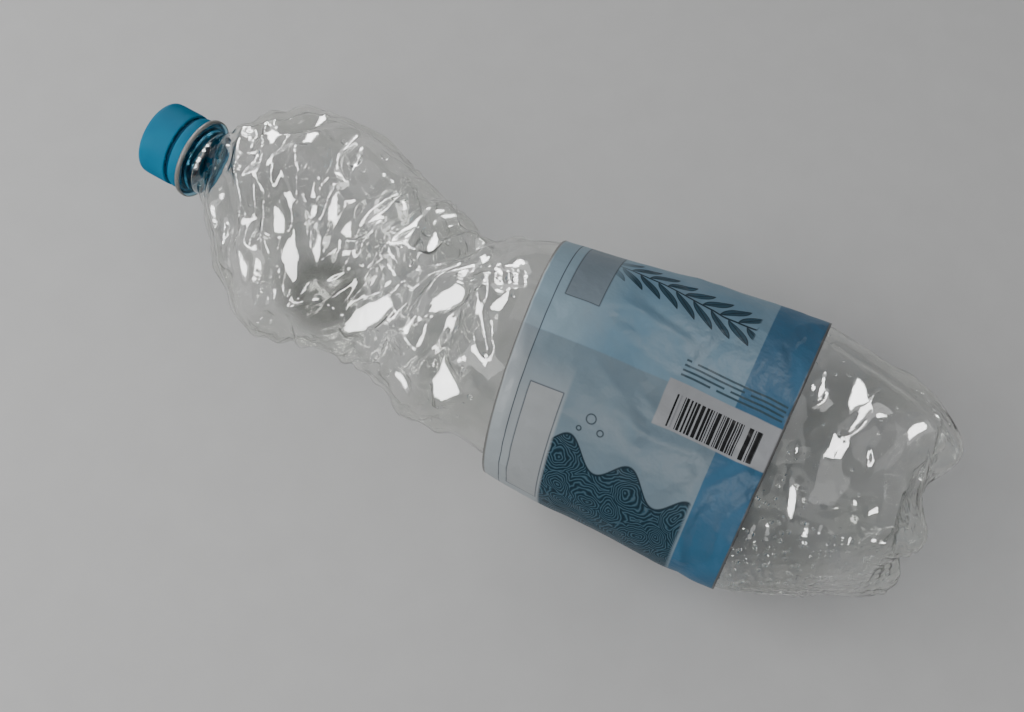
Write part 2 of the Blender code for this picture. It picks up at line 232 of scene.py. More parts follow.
def down_the_neck(point):
    """How far a point lies from the cap's top, along the neck."""
    return (CAP_TOP - point).dot(OUT_OF_NECK)


def outer_skin():
    """The CAD bottle's outside without its neck: its mouth is opened and the inside let go."""
    skin = bmesh.new()
    skin.from_mesh(frame["nodes"]["bottle"].data)
    bmesh.ops.remove_doubles(skin, verts=skin.verts, dist=1e-6)
    mouth = [
        face for face in skin.faces
        if abs(face.normal.dot(OUT_OF_NECK)) > 0.9
        and abs(down_the_neck(face.calc_center_median()) - MOUTH_DEPTH) < 0.05 * MM
    ]
    bmesh.ops.delete(skin, geom=mouth, context="FACES_ONLY")
    shells, left = [], set(skin.faces)
    while left:
        shell, todo = set(), [next(iter(left))]
        while todo:
            face = todo.pop()
            if face in left:
                left.discard(face)
                shell.add(face)
                todo += [other for edge in face.edges for other in edge.link_faces]
        shells.append(shell)
    shells.sort(key=lambda shell: max(face.calc_center_median().x for face in shell))
    unwanted = [face for shell in shells[:-1] for face in shell]
    unwanted += [
        face for face in shells[-1] if down_the_neck(face.calc_center_median()) < NECK_FOOT_DEPTH
    ]
    bmesh.ops.delete(skin, geom=unwanted, context="FACES")
    return skin


def ease(share):
    """A smooth step from 0 to 1 as the share goes from 0 to 1."""
    share = min(max(share, 0.0), 1.0)
    return share * share * (3 - 2 * share)


def zigzag(value):
    """A wave of straight flanks between -1 and 1."""
    return 1 - 4 * abs(value - math.floor(value) - 0.5)


# Where folds run across the wall: X in mm, and how many mm a fold gains in X for each
# mm of Y. They fan out from the neck and turn the other way at the waist.
FOLD_SLANTS = ((-135, -0.62), (-105, -0.50), (-80, -0.22), (-60, 0.10), (-35, 0.42), (-5, 0.30))
FOLD_SPACING = 13.5
FOLD_HEIGHT = 1.3
CROSS_FOLD_SPACING = 11.0
CROSS_FOLD_HEIGHT = 0.7
SWELL_HEIGHT = 1.2


def fold_slant(x):
    """The slant of the folds at X, from the table above."""
    for (left, low), (right, high) in zip(FOLD_SLANTS, FOLD_SLANTS[1:]):
        if x <= right:
            return low + (high - low) * max(x - left, 0) / (right - left)
    return FOLD_SLANTS[-1][1]


CALM_PLACES = (  # X, Y and reach along X and along Y in mm, and the share of folding left
    (-82.0, 43.0, 24.0, 15.0, 0.10),
    (-58.0, 34.0, 17.0, 14.0, 0.15),
    (-64.0, -25.0, 15.0, 12.0, 0.08),
    (-92.0, -34.0, 15.0, 13.0, 0.25),
    (-46.0, 8.0, 13.0, 11.0, 0.20),
    (-40.0, -9.0, 11.0, 8.0, 0.25),
    (-36.0, -33.0, 11.0, 9.0, 0.20),
    (-114.0, -2.0, 9.0, 14.0, 0.30),
    (-26.0, -30.0, 12.0, 8.0, 0.30),
    (-6.0, -10.0, 12.0, 30.0, 0.25),
)
LOWER_SHARE = 0.08  # how much of the folding reaches the half below the label
LOWER_SWELL = 0.6  # mm, of the shallow swells there


def lower_share(place):
    """1 between the label and the base, falling to 0 at both."""
    return ease((place.x - 104) / 8) * ease((156 - place.x) / 14)


def crush_strength(place):
    """How strongly the wall is crushed at a place in mm: fully from shoulder to label."""
    strength = ease((place.x + 134) / 10) * ease((0 - place.x) / 10)
    strength += LOWER_SHARE * lower_share(place)
    for x, y, reach_x, reach_y, left in CALM_PLACES:
        distance = math.hypot((place.x - x) / reach_x, (place.y - y) / reach_y)
        strength *= left + (1 - left) * ease((distance - 0.6) / 0.7)
    return strength


def fold_height(place):
    """How far the wall stands out at a place in mm."""
    warp = noise.noise_vector(place / 28.0) * 6.0
    across = place.x - fold_slant(place.x) * place.y
    depth = 0.35 + 2.4 * abs(noise.noise(place / 24.0 + Vector((7, 3, 1))))
    height = FOLD_HEIGHT * depth * zigzag((across + warp.x) / FOLD_SPACING)
    cross = place.x + 0.9 * place.y + 0.5 * place.z
    cross_depth = max(0.0, 2.2 * noise.noise(place / 18.0 + Vector((1, 13, 5))))
    height += CROSS_FOLD_HEIGHT * cross_depth * zigzag((cross + warp.y) / CROSS_FOLD_SPACING)
    return height + SWELL_HEIGHT * 2 * noise.noise(place / 20.0 + Vector((31, 0, 0)))


# Small crumples: X, Y and reach along X and along Y in mm.
CRUMPLED_PLACES = (
    (-104, -19, 8, 9), (-80, -30, 11, 5), (-2, -3, 11, 6), (-57, 31, 5, 5), (-120, 22, 7, 7),
    (132, -46, 30, 13), (157, -8, 6, 9), (156, -30, 7, 11), (108, -45, 8, 8), (-52, -44, 14, 5),
    (-66, 47, 9, 6), (-44, 28, 10, 4),
)
CRUMPLE_HEIGHT, CRUMPLE_SPACING = 0.36, 4.4
# Single creases along the top: height and half width in mm, then X and Y of their points.
CREASES = (
    (0.9, 2.4, ((-55.8, -14.8), (-55.0, -9.1), (-53.1, -3.0), (-51.2, 6.3), (-47.8, 17.3))),
    (-0.8, 2.2, ((-93.2, 13.8), (-87.7, 7.6), (-80.8, -0.2), (-77.4, -8.1), (-74.4, -18.1))),
    (0.7, 2.2, ((-79.4, 12.2), (-72.4, 4.0), (-70.7, -3.4), (-74.0, -10.4))),
    (0.35, 1.6, ((-11.0, -29.7), (-13.5, -33.3), (-13.5, -40.1), (-13.2, -43.2))),
    (0.35, 1.6, ((-8.2, -29.0), (-3.4, -34.5), (-0.6, -39.8), (-2.5, -42.5))),
    (0.8, 2.0, ((-50.2, -19.6), (-53.4, -24.0), (-54.2, -29.2), (-53.3, -31.7))),
    (-0.8, 2.4, ((110.0, 36.8), (121.8, 32.8), (134.1, 26.0), (145.8, 17.7), (157.2, 13.2))),
    (0.22, 1.4, ((123.4, 2.4), (125.6, -3.2), (129.2, -7.7), (132.4, -10.4))),
    (0.20, 1.4, ((130.5, -1.5), (135.5, -8.3), (137.4, -13.3))),
    (-0.8, 2.2, ((151.9, 5.6), (155.2, 0.9), (157.0, -4.0))),
    (0.7, 2.2, ((-109.2, 9.6), (-105.5, 0.9), (-97.7, -10.2), (-87.4, -24.2))),
    (-0.8, 2.4, ((-48.5, -7.4), (-34.4, -13.7), (-18.3, 2.2))),
    (0.5, 1.8, ((-116.6, 3.8), (-112.5, -3.3), (-107.5, -8.5))),
    (1.1, 2.2, ((-129.5, 21.8), (-120.6, 24.9), (-113.4, 29.5), (-108.6, 37.0), (-104.0, 44.5))),
    (-0.8, 2.2, ((-127.0, 17.0), (-117.0, 20.5), (-108.5, 25.5), (-103.0, 33.5))),
)


def crumple_height(place):
    """How far the wall stands out in the small crumples at a place in mm."""
    share = 0.0
    for x, y, reach_x, reach_y in CRUMPLED_PLACES:
        distance = math.hypot((place.x - x) / reach_x, (place.y - y) / reach_y)
        share = max(share, ease((1.3 - distance) / 0.6))
    if share == 0:
        return 0.0
    warp = noise.noise_vector(place / 9.0) * 2.5
    one = zigzag((place.x + 0.4 * place.y + warp.x) / CRUMPLE_SPACING)
    other = zigzag((0.5 * place.x - place.y - place.z + warp.y) / CRUMPLE_SPACING)
    return CRUMPLE_HEIGHT * share * (one + other) * (0.5 + abs(warp.z))


def crease_height(here, creases):
    """How far single creases lift a place that is given by two numbers in mm."""
    total = 0.0
    for height, half_width, points in creases:
        if abs(here.x - points[0][0]) > 60:
            continue
        nearest = half_width
        for start, end in zip(points, points[1:]):
            start, end = Vector(start), Vector(end)
            share = min(max((here - start).dot(end - start) / (end - start).length_squared, 0), 1)
            nearest = min(nearest, (here - start - share * (end - start)).length)
        total += height * (1 - nearest / half_width)
    return total


def underside_height(place):
    """How far the underside of the lower part is dented inwards at a place in mm."""
    warp = noise.noise_vector(place / 13.0) * 5.0
    one = zigzag((place.x + 0.3 * place.y + warp.x) / 9.0)
    other = zigzag((0.4 * place.x - place.y + warp.y) / 8.0)
    return 0.25 * (2 + one + other) * (0.4 + abs(warp.z) / 2)


def crush(skin):
    """Fold the wall: move every point in or out, but never below the table."""
    skin.normal_update()
    moves = []
    for vert in skin.verts:
        place = vert.co / MM
        height = fold_height(place) * crush_strength(place) + crumple_height(place)
        if vert.normal.z > 0.1:
            height += crease_height(place.xy, CREASES)
        height += LOWER_SWELL * noise.noise(place / 10.0) * lower_share(place)
        height *= ease((place.z - 0.6) / 4)
        if vert.normal.z < -0.1 and 104 < place.x < 158:
            height -= underside_height(place) * ease((-0.1 - vert.normal.z) / 0.3)
        moves.append(vert.normal * (height * MM))
    for vert, move in zip(skin.verts, moves):
        vert.co += move
        vert.co.z = max(vert.co.z, 0.0)
    skin.normal_update()


# Flats pressed into the top of the wall, each turned so that it mirrors the window that
# suits it best to the camera: the X and Y of its middle, length and width in mm, the turn
# of its length from X, how much wider its far end is than its near end, and its depth.
FLATS = (
    (-46.5, -27.5, 27.0, 9.5, 54, 0.1, 1.0),
    (-20.4, -16.0, 19.0, 9.0, 60, 0.9, 1.0),
    (-8.4, -38.7, 20.0, 10.0, -78, 0.9, 0.6),
    (-3.6, -19.3, 25.0, 4.0, -59, 0.0, 0.4),
    (-91.2, -9.3, 17.0, 7.5, -48, 0.4, 0.7),
    (-80.3, -20.6, 18.0, 7.5, -55, 0.0, 0.7),
    (-73.7, 2.3, 20.0, 5.5, -70, 0.3, 0.5),
    (-82.1, 0.4, 24.0, 4.6, -54, 0.0, 0.6),
    (-73.2, -15.3, 11.0, 5.5, -82, 0.0, 0.5),
    (-66.6, -0.2, 9.0, 6.0, -78, 0.4, 0.5),
    (-60.0, 6.6, 6.5, 3.6, 44, 0.0, 0.3),
    (-53.5, -9.3, 8.5, 4.0, 58, 0.0, 0.3),
    (-36.7, 7.9, 15.0, 5.5, -71, 0.6, 0.4),
    (-112.1, 21.2, 12.0, 5.5, -55, 0.0, 0.5),
    (-97.5, 26.0, 11.0, 5.5, 75, 0.3, 0.5),
    (-101.5, -13.3, 8.0, 5.4, -29, 0.0, 0.4),
    (-85.0, -39.7, 10.0, 5.0, 77, 0.0, 0.4),
    (-32.3, -32.6, 9.0, 3.2, -45, 0.5, 0.4),
    (-23.6, -41.5, 12.0, 6.0, -34, 0.0, 0.4),
    (121.3, 14.6, 19.0, 6.0, -72, 0.2, 0.7),
    (126.6, 8.7, 18.0, 4.0, -102, 0.5, 0.5),
    (110.2, 15.0, 14.0, 3.8, -87, 0.3, 0.4),
    (132.2, -6.1, 6.0, 2.4, -63, 0.3, 0.3),
    (134.4, -23.6, 7.5, 3.6, -64, 0.2, 0.4),
    (114.8, -26.5, 17.0, 3.4, -76, 0.5, 0.5),
    (111.6, -12.5, 7.0, 3.0, -64, 0.0, 0.3),
    (-102.4, 39.4, 11.0, 4.0, 100, 0.0, 0.4),
    (-93.1, 11.6, 7.5, 3.4, -76, 0.0, 0.4),
    (-86.1, 6.9, 12.0, 4.6, -42, 0.3, 0.5),
    (-72.4, -6.8, 11.0, 2.2, -124, 0.0, 0.3),
    (-114.8, 2.6, 7.0, 3.4, -55, 0.5, 0.3),
    (-117.3, -14.5, 8.8, 2.6, -53, 0.0, 0.3),
    (-106.2, 9.8, 6.0, 3.4, -67, 0.0, 0.3),
    (-78.6, -33.9, 5.4, 2.2, 20, 0.0, 0.3),
    (-48.1, 7.3, 6.4, 2.8, 38, 0.4, 0.3),
    (-52.5, -10.0, 8.0, 2.2, -107, 0.0, 0.3),
    (-31.1, -33.7, 5.0, 2.2, -39, 0.0, 0.3),
    (-107.6, 34.7, 4.4, 2.0, 76, 0.0, 0.2),
    (-114.7, 26.0, 7.9, 2.2, -23, 0.0, 0.2),
    (-67.9, -11.9, 8.0, 2.0, -111, 0.0, 0.3),
    (-63.3, -17.2, 8.8, 1.8, 43, 0.0, 0.3),
    (151.5, 21.0, 10.0, 2.2, -30, 0.0, 0.3),
)
FLAT_EDGE = 0.18  # the share of a flat's half width over which its rim rises to the wall


def press_flats(skin, low_x, high_x):
    """Press those flats whose middles lie between two places along X, in mm."""
    flats = [flat for flat in FLATS if low_x < flat[0] < high_x]
    for x, y, length, width, turn, taper, depth in flats:
        above = [
            vert for vert in skin.verts
            if vert.normal.z > 0 and abs(vert.co.x / MM - x) < 2 and abs(vert.co.y / MM - y) < 2
        ]
        middle = min(above, key=lambda vert: math.hypot(vert.co.x / MM - x, vert.co.y / MM - y)).co
        to_camera = (camera.location - middle).normalized()
        near = [vert for vert in skin.verts if (vert.co - middle).length < width * MM / 2]
        wall_facing = sum((vert.normal for vert in near), Vector()).normalized()
        mirrors = [(to_camera + window).normalized() for window in window_directions]
        facing = max(mirrors, key=wall_facing.dot)
        along = Vector((math.cos(math.radians(turn)), math.sin(math.radians(turn)), 0.0))
        along = (along - facing * along.dot(facing)).normalized()
        across = facing.cross(along)
        inside = []
        for vert in skin.verts:
            offset = (vert.co - middle) / MM
            if offset.length > length or abs(offset.dot(facing)) > width:
                continue
            end = offset.dot(along) * 2 / length
            side = offset.dot(across) * 2 / (width * (1 + taper * end))
            share = math.hypot(end, side) + 0.25 * noise.noise(vert.co / MM / 5.0)
            if abs(end) < 1.2 and share < 1 + FLAT_EDGE:
                inside.append((vert, offset.dot(facing), share))
        if not inside:
            continue
        heights = [height for _, height, share in inside if share < 0.8] or [0.0]
        level = sum(heights) / len(heights) - depth
        for vert, height, share in inside:
            vert.co += facing * ((level - height) * MM * ease((1 + FLAT_EDGE - share) / FLAT_EDGE))


def finish_wall(name, skin, material):
    """Give the skin its thickness, inwards, and its place on the bottle."""
    shares = skin.verts.layers.deform.verify()
    for vert in skin.verts:
        share = ease((vert.co.x - BASE_START) / (BASE_FULL - BASE_START))
        vert[shares][0] = (WALL + share * (BASE_WALL - WALL)) / BASE_WALL
    for face in skin.faces:
        face.smooth = True
    piece = new_piece(name, skin)
    piece.vertex_groups.new(name="share_of_base_wall")
    thickness = piece.modifiers.new("thickness", "SOLIDIFY")
    thickness.thickness = BASE_WALL
    thickness.vertex_group = "share_of_base_wall"
    thickness.offset = -1
    piece.data.materials.append(material)
    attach(piece, "bottle")
    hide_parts("bottle")
    return piece


def soften(skin, times):
    """Round the skin off, but for its open edges and what lies on the table."""
    loose = [vert for vert in skin.verts if not vert.is_boundary and vert.co.z > 0.2 * MM]
    for _ in range(times):
        bmesh.ops.smooth_vert(
            skin, verts=loose, factor=0.5, use_axis_x=True, use_axis_y=True, use_axis_z=True
        )


# A spot of painted shade, where the wall looks grey, with its tint darker: middle, reach, turn and what
# light it lets through there.
PAINTED_SHADE_SPOT = ((-0.0640, -0.0250, 0.0560), (0.021, 0.018, 0.022), (0, 0, 0), (0.72, 0.72, 0.712))


def make_clear_pet(name, clear, grey, ior, roughness, painted_tint_place, past_light=0.93):
    """Clear plastic or water: it bends and mirrors light, and lets lamps shine through it.

    Its tint drifts between two greys, and round one place a darker tint is painted in: painted shade on
    the wall and in the water, the cap's painted blue on the neck.
    """
    material = bpy.data.materials.new(name)
    material.use_nodes = True
    nodes, links = material.node_tree.nodes, material.node_tree.links
    nodes.remove(nodes["Principled BSDF"])
    glass = nodes.new("ShaderNodeBsdfGlass")
    glass.inputs["Roughness"].default_value = roughness
    glass.inputs["IOR"].default_value = ior
    drift = noise_texture(nodes, links, 45.0, 2.0)
    tint = colour_ramp(nodes, links, drift.outputs["Fac"], [(0.38, grey), (0.58, clear)])
    coordinates = nodes.new("ShaderNodeTexCoord")
    around = nodes.new("ShaderNodeMapping")
    around.vector_type = "TEXTURE"
    around.inputs["Location"].default_value = painted_tint_place[0]
    around.inputs["Scale"].default_value = painted_tint_place[1]
    around.inputs["Rotation"].default_value = painted_tint_place[2]
    links.new(coordinates.outputs["Object"], around.inputs["Vector"])
    ball = nodes.new("ShaderNodeTexGradient")
    ball.gradient_type = "SPHERICAL"
    links.new(around.outputs["Vector"], ball.inputs["Vector"])
    shade = colour_ramp(
        nodes, links, ball.outputs["Fac"], [(0.0, (1.0, 1.0, 1.0)), (0.5, painted_tint_place[3])]
    )
    darker = nodes.new("ShaderNodeMix")
    darker.data_type = "RGBA"
    darker.blend_type = "MULTIPLY"
    darker.inputs["Factor"].default_value = 1.0
    links.new(tint, darker.inputs["A"])
    links.new(shade, darker.inputs["B"])
    links.new(darker.outputs["Result"], glass.inputs["Color"])
    passing = nodes.new("ShaderNodeBsdfTransparent")
    passing.inputs["Color"].default_value = (past_light, past_light + 0.005, past_light + 0.005, 1.0)
    path = nodes.new("ShaderNodeLightPath")
    either = nodes.new("ShaderNodeMath")
    either.operation = "MAXIMUM"
    links.new(path.outputs["Is Shadow Ray"], either.inputs[0])
    links.new(path.outputs["Is Diffuse Ray"], either.inputs[1])
    mix = nodes.new("ShaderNodeMixShader")
    links.new(either.outputs["Value"], mix.inputs["Fac"])
    links.new(glass.outputs["BSDF"], mix.inputs[1])
    links.new(passing.outputs["BSDF"], mix.inputs[2])
    links.new(mix.outputs["Shader"], nodes["Material Output"].inputs["Surface"])
    ripple = noise_texture(nodes, links, 150.0, 2.0)
    uneven = nodes.new("ShaderNodeBump")
    uneven.inputs["Strength"].default_value = 0.12
    uneven.inputs["Distance"].default_value = 0.0004
    links.new(ripple.outputs["Fac"], uneven.inputs["Height"])
    links.new(uneven.outputs["Normal"], glass.inputs["Normal"])
    return material


clear_pet = make_clear_pet(
    "clear_pet_wall", (0.99, 0.99, 0.985), (0.955, 0.958, 0.945), 1.575, 0.0, PAINTED_SHADE_SPOT
)
# This copy for the lower half is tinted clearer and lets more lamp light past: painted light, which
# makes that half and the shade under it lighter.
lower_pet = make_clear_pet(
    "clear_pet_lower_wall", (0.998, 0.998, 0.993), (0.975, 0.978, 0.966), 1.575, 0.0,
    PAINTED_SHADE_SPOT, 0.955,
)

skin = outer_skin()
upper = skin.copy()
bmesh.ops.bisect_plane(
    upper, geom=upper.verts[:] + upper.edges[:] + upper.faces[:],
    plane_co=(SPLIT_X, 0, 0), plane_no=(1, 0, 0), clear_outer=True,
)
bmesh.ops.subdivide_edges(upper, edges=upper.edges[:], cuts=5, use_grid_fill=True)
soften(upper, 5)
crush(upper)
press_flats(upper, -140, 10)
soften(upper, 1)
upper_skin = upper.copy()
finish_wall("bottle_crushed_part", upper, clear_pet)

bmesh.ops.bisect_plane(
    skin, geom=skin.verts[:] + skin.edges[:] + skin.faces[:],
    plane_co=(SPLIT_X, 0, 0), plane_no=(1, 0, 0), clear_inner=True,
)
bmesh.ops.subdivide_edges(skin, edges=skin.edges[:], cuts=5, use_grid_fill=True)
soften(skin, 30)
crush(skin)
press_flats(skin, 105, 156)
soften(skin, 1)
lower_skin = skin.copy()
finish_wall("bottle_lower_part", skin, lower_pet)


# ---------------------------------------------------------------- drops of water
# A little water is left inside. It clings to the wall as flattened drops, large ones
# apart from each other, and many small ones by chance, most of them low in the base half.
DROP_FLATNESS = 0.6  # height of a drop against its width
DROP_GAP = 0.06 * MM
LARGE_DROPS = (  # X, Y and width in mm, under the top of the wall
    (-79.6, 25.2, 6.0), (-57.1, 20.7, 5.4), (-40.2, 10.9, 3.4), (-33.9, 12.8, 3.3), (-70.4, 34.1, 3.0),
    (-72.8, 21.5, 2.2), (-39.3, -5.6, 2.8), (-52.7, -1.5, 2.2), (-39.5, -34.6, 2.5), (3.2, -31.5, 1.9),
    (3.1, -41.6, 2.3), (-6.6, 0.4, 2.3), (-0.9, -2.7, 3.6), (-11.5, 3.0, 2.4), (0.9, -0.8, 1.9),
    (-14.0, 1.6, 1.7), (-14.5, -5.0, 2.0), (-9.5, -4.7, 1.9), (-2.0, -6.6, 1.6), (4.0, -8.6, 1.6),
    (-19.6, -1.5, 1.9), (-67.0, 17.8, 1.9), (-45.7, 0.2, 2.6), (-87.7, 33.4, 2.9), (-113.3, 11.8, 3.0),
    (-66.0, 14.3, 1.9), (155.0, 1.0, 3.0), (153.0, -2.5, 2.4),
)
DROP_SEED = 11
chance = random.Random(DROP_SEED)
drops = bmesh.new()


def ball_mesh(segments):
    """A mesh of a ball that is 1 across."""
    builder = bmesh.new()
    bmesh.ops.create_uvsphere(
        builder, u_segments=segments, v_segments=segments * 3 // 4, radius=0.5
    )
    mesh = bpy.data.meshes.new("ball")
    builder.to_mesh(mesh)
    builder.free()
    return mesh


def add_drop(place, normal, width, ball):
    """A flattened ball of water against the inside of the wall at a place."""
    height = DROP_FLATNESS * width
    across = normal.orthogonal().normalized()
    turn = Matrix((across, normal.cross(across), normal)).transposed().to_4x4()
    turn.translation = place - normal * (WALL + DROP_GAP + height / 2)
    longer = chance.uniform(1.0, 1.25)
    drop = ball.copy()
    drop.transform(turn @ Matrix.Diagonal((width * longer, width, height, 1.0)))
    drops.from_mesh(drop)
    bpy.data.meshes.remove(drop)


def wall_tree(skin):
    """The skin made ready for finding where a line meets it."""
    skin.faces.ensure_lookup_table()
    return BVHTree.FromBMesh(skin)


large_ball, small_ball = ball_mesh(32), ball_mesh(8)
trees = wall_tree(upper_skin), wall_tree(lower_skin)
for x, y, width in LARGE_DROPS:
    tree = trees[0] if x < SPLIT_X / MM else trees[1]
    place, normal, _, _ = tree.ray_cast(Vector((x * MM, y * MM, 0.2)), Vector((0, 0, -1)))
    if place is not None:
        add_drop(place, normal, width * MM, large_ball)

SMALL_DROPS = (  # how many, from which X to which X, from which side of the bottle, widths in mm
    (70, -120, 0, (-1.0, 1.0), (0.5, 1.5)),
    (50, -40, 6, (-1.0, 0.5), (0.5, 1.6)),
    (130, 106, 156, (-1.0, 1.0), (0.4, 1.3)),
    (190, 100, 158, (-1.0, -0.35), (0.5, 1.8)),
)
for count, low_x, high_x, (low_side, high_side), (least, most) in SMALL_DROPS:
    for _ in range(count):
        x = chance.uniform(low_x, high_x) * MM
        side = chance.uniform(low_side, high_side)
        width = chance.uniform(least, most) * MM
        out = Vector((0.0, math.sin(side * 1.9), math.cos(side * 1.9)))
        tree = trees[0] if x < SPLIT_X else trees[1]
        start = Vector((x, -0.008, 0.038)) + out * 0.15
        place, normal, _, _ = tree.ray_cast(start, -out)
        if place is not None and place.z > 4 * MM:
            add_drop(place, normal, width, small_ball)
upper_skin.free()
lower_skin.free()
for mesh in (large_ball, small_ball):
    bpy.data.meshes.remove(mesh)
for face in drops.faces:
    face.smooth = True


water = make_clear_pet(
    "water", (1.0, 1.0, 1.0), (0.98, 0.985, 0.985), 1.333, 0.0, PAINTED_SHADE_SPOT
)
piece = new_piece("drops_of_water", drops)
piece.data.materials.append(water)
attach(piece, "bottle")


# ---------------------------------------------------------------- neck
# The neck finish is moulded thick before the bottle is blown, and keeps its shape: a
# plain mouth, a screw thread, a bead that holds the tamper band, and a support ring.
MOUTH_RADIUS = 12.45 * MM
BORE_RADIUS = 11.75 * MM
NECK_RADIUS = 12.6 * MM
BEAD_RADIUS = 13.75 * MM
RING_RADIUS = 16.3 * MM
FOOT_RADIUS = 13.0 * MM
BEAD_DEPTH = 13.4 * MM
RING_DEPTH, RING_WIDTH = 19.25 * MM, 1.95 * MM
NECK_OUTLINE = (  # depth from the cap's top and radius, from the bore's end round to its start
    (NECK_FOOT_DEPTH, FOOT_RADIUS - WALL),
    (23.4 * MM, FOOT_RADIUS - 0.50 * MM),
    (22.0 * MM, FOOT_RADIUS - 0.70 * MM),
    (20.0 * MM, FOOT_RADIUS - 0.95 * MM),
    (18.0 * MM, FOOT_RADIUS - 1.15 * MM),
    (16.0 * MM, BORE_RADIUS),
    (MOUTH_DEPTH + 0.4 * MM, BORE_RADIUS),
    (MOUTH_DEPTH, BORE_RADIUS + 0.2 * MM),
    (MOUTH_DEPTH, MOUTH_RADIUS - 0.3 * MM),
    (MOUTH_DEPTH + 0.3 * MM, MOUTH_RADIUS),
    (BEAD_DEPTH - 0.6 * MM, MOUTH_RADIUS),
    (BEAD_DEPTH, BEAD_RADIUS - 0.1 * MM),
    (BEAD_DEPTH + 0.4 * MM, BEAD_RADIUS),
    (BEAD_DEPTH + 0.9 * MM, BEAD_RADIUS - 0.3 * MM),
    (BEAD_DEPTH + 1.1 * MM, NECK_RADIUS),
    (RING_DEPTH - 0.3 * MM, NECK_RADIUS),
    (RING_DEPTH, NECK_RADIUS + 0.3 * MM),
    (RING_DEPTH, RING_RADIUS - 0.4 * MM),
    (RING_DEPTH + 0.15 * MM, RING_RADIUS - 0.1 * MM),
    (RING_DEPTH + 0.5 * MM, RING_RADIUS),
    (RING_DEPTH + RING_WIDTH - 0.5 * MM, RING_RADIUS),
    (RING_DEPTH + RING_WIDTH - 0.1 * MM, RING_RADIUS - 0.2 * MM),
    (RING_DEPTH + RING_WIDTH, RING_RADIUS - 0.6 * MM),
    (RING_DEPTH + RING_WIDTH + 0.2 * MM, FOOT_RADIUS + 0.5 * MM),
    (RING_DEPTH + RING_WIDTH + 0.7 * MM, FOOT_RADIUS),
    (NECK_FOOT_DEPTH, FOOT_RADIUS),
)
THREAD_START, THREAD_PITCH, THREAD_TURNS = 3.6 * MM, 3.18 * MM, 2.25
THREAD_OUT, THREAD_HALF = 1.05 * MM, 0.85 * MM

neck_side = OUT_OF_NECK.cross(UPWARDS).normalized()
neck_place = Matrix((neck_side, OUT_OF_NECK.cross(neck_side), OUT_OF_NECK)).transposed().to_4x4()
neck_place.translation = CAP_TOP


def turned(outline, steps, closed=True):
    """A mesh spun round the neck's axis from depths and radii."""
    builder = bmesh.new()
    verts = [builder.verts.new((radius, 0.0, -depth)) for depth, radius in outline]
    pairs = list(zip(verts, verts[1:])) + ([(verts[-1], verts[0])] if closed else [])
    edges = [builder.edges.new(pair) for pair in pairs]
    bmesh.ops.spin(
        builder, geom=verts + edges, cent=(0, 0, 0), axis=(0, 0, 1),
        angle=TURN, steps=steps, use_merge=True,
    )
    bmesh.ops.remove_doubles(builder, verts=builder.verts, dist=1e-6)
    bmesh.ops.recalc_face_normals(builder, faces=builder.faces)
    return builder


def add_thread(builder):
    """The screw thread: a rounded ridge that winds down from the mouth."""
    start = len(builder.verts)
    ridge = (
        (MOUTH_RADIUS - 0.2 * MM, -THREAD_HALF), (MOUTH_RADIUS + THREAD_OUT, -0.35 * THREAD_HALF),
        (MOUTH_RADIUS + THREAD_OUT, 0.35 * THREAD_HALF), (MOUTH_RADIUS - 0.2 * MM, THREAD_HALF),
    )
    verts = [builder.verts.new((radius, 0.0, height - THREAD_START)) for radius, height in ridge]
    first = builder.faces.new(verts)
    steps = int(96 * THREAD_TURNS)
    bmesh.ops.spin(
        builder, geom=[first], cent=(0, 0, 0), axis=(0, 0, 1), angle=TURN * THREAD_TURNS,
        steps=steps, dvec=(0, 0, -THREAD_PITCH * THREAD_TURNS / steps),
    )
    builder.verts.ensure_lookup_table()
    thread = {face for vert in builder.verts[start:] for face in vert.link_faces}
    bmesh.ops.recalc_face_normals(builder, faces=list(thread))


def finish_turned(name, builder, material, body, node):
    """Place a turned piece on the neck's axis and give it its material and body."""
    bmesh.ops.transform(builder, matrix=neck_place, verts=builder.verts)
    for face in builder.faces:
        face.smooth = True
    piece = new_piece(name, builder)
    piece.data.set_sharp_from_angle(angle=math.radians(50))
    piece.data.materials.append(material)
    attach(piece, body)
    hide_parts(node)
    return piece


builder = turned(NECK_OUTLINE, 128)
add_thread(builder)
# Between ring and shoulder the thick wall shows the blue of the cap above it; that blue, navy where it
# is in shade, is painted into the glass's tint here.
below_ring = CAP_TOP - OUT_OF_NECK * 24.2 * MM
neck_turn = OUT_OF_NECK.to_track_quat("X", "Z").to_euler()
painted_cap_blue = (below_ring, (0.009, 0.030, 0.030), neck_turn, (0.36, 0.66, 0.80))
neck_pet = make_clear_pet(
    "neck_pet", (0.93, 0.925, 0.91), (0.90, 0.895, 0.88), 1.34, 0.12, painted_cap_blue
)
neck = finish_turned("bottle_neck", builder, neck_pet, "bottle", "bottle")
# The ring is so thick that its rim looks clouded.
ring_pet, nodes, links, shader = new_material("ring_pet", (0.27, 0.26, 0.24), 0.35, 0.4)
shader.inputs["IOR"].default_value = 1.45
shader.inputs["Transmission Weight"].default_value = 0.25
cloud = noise_texture(nodes, links, 260.0, 2.0)
links.new(
    colour_ramp(nodes, links, cloud.outputs["Fac"],
                [(0.35, (0.19, 0.185, 0.168)), (0.65, (0.27, 0.262, 0.24))]),
    shader.inputs["Base Color"],
)
bump(nodes, links, cloud.outputs["Fac"], shader, 0.15, 0.0005)
neck.data.materials.append(ring_pet)
CLOUDED_FROM = RING_RADIUS - 0.9 * MM
for face in neck.data.polygons:
    out = face.center - CAP_TOP
    depth = -out.dot(OUT_OF_NECK)
    radius = (out + OUT_OF_NECK * depth).length
    if RING_DEPTH - 0.1 * MM < depth < RING_DEPTH + RING_WIDTH + 0.3 * MM and radius > CLOUDED_FROM:
        face.material_index = 1


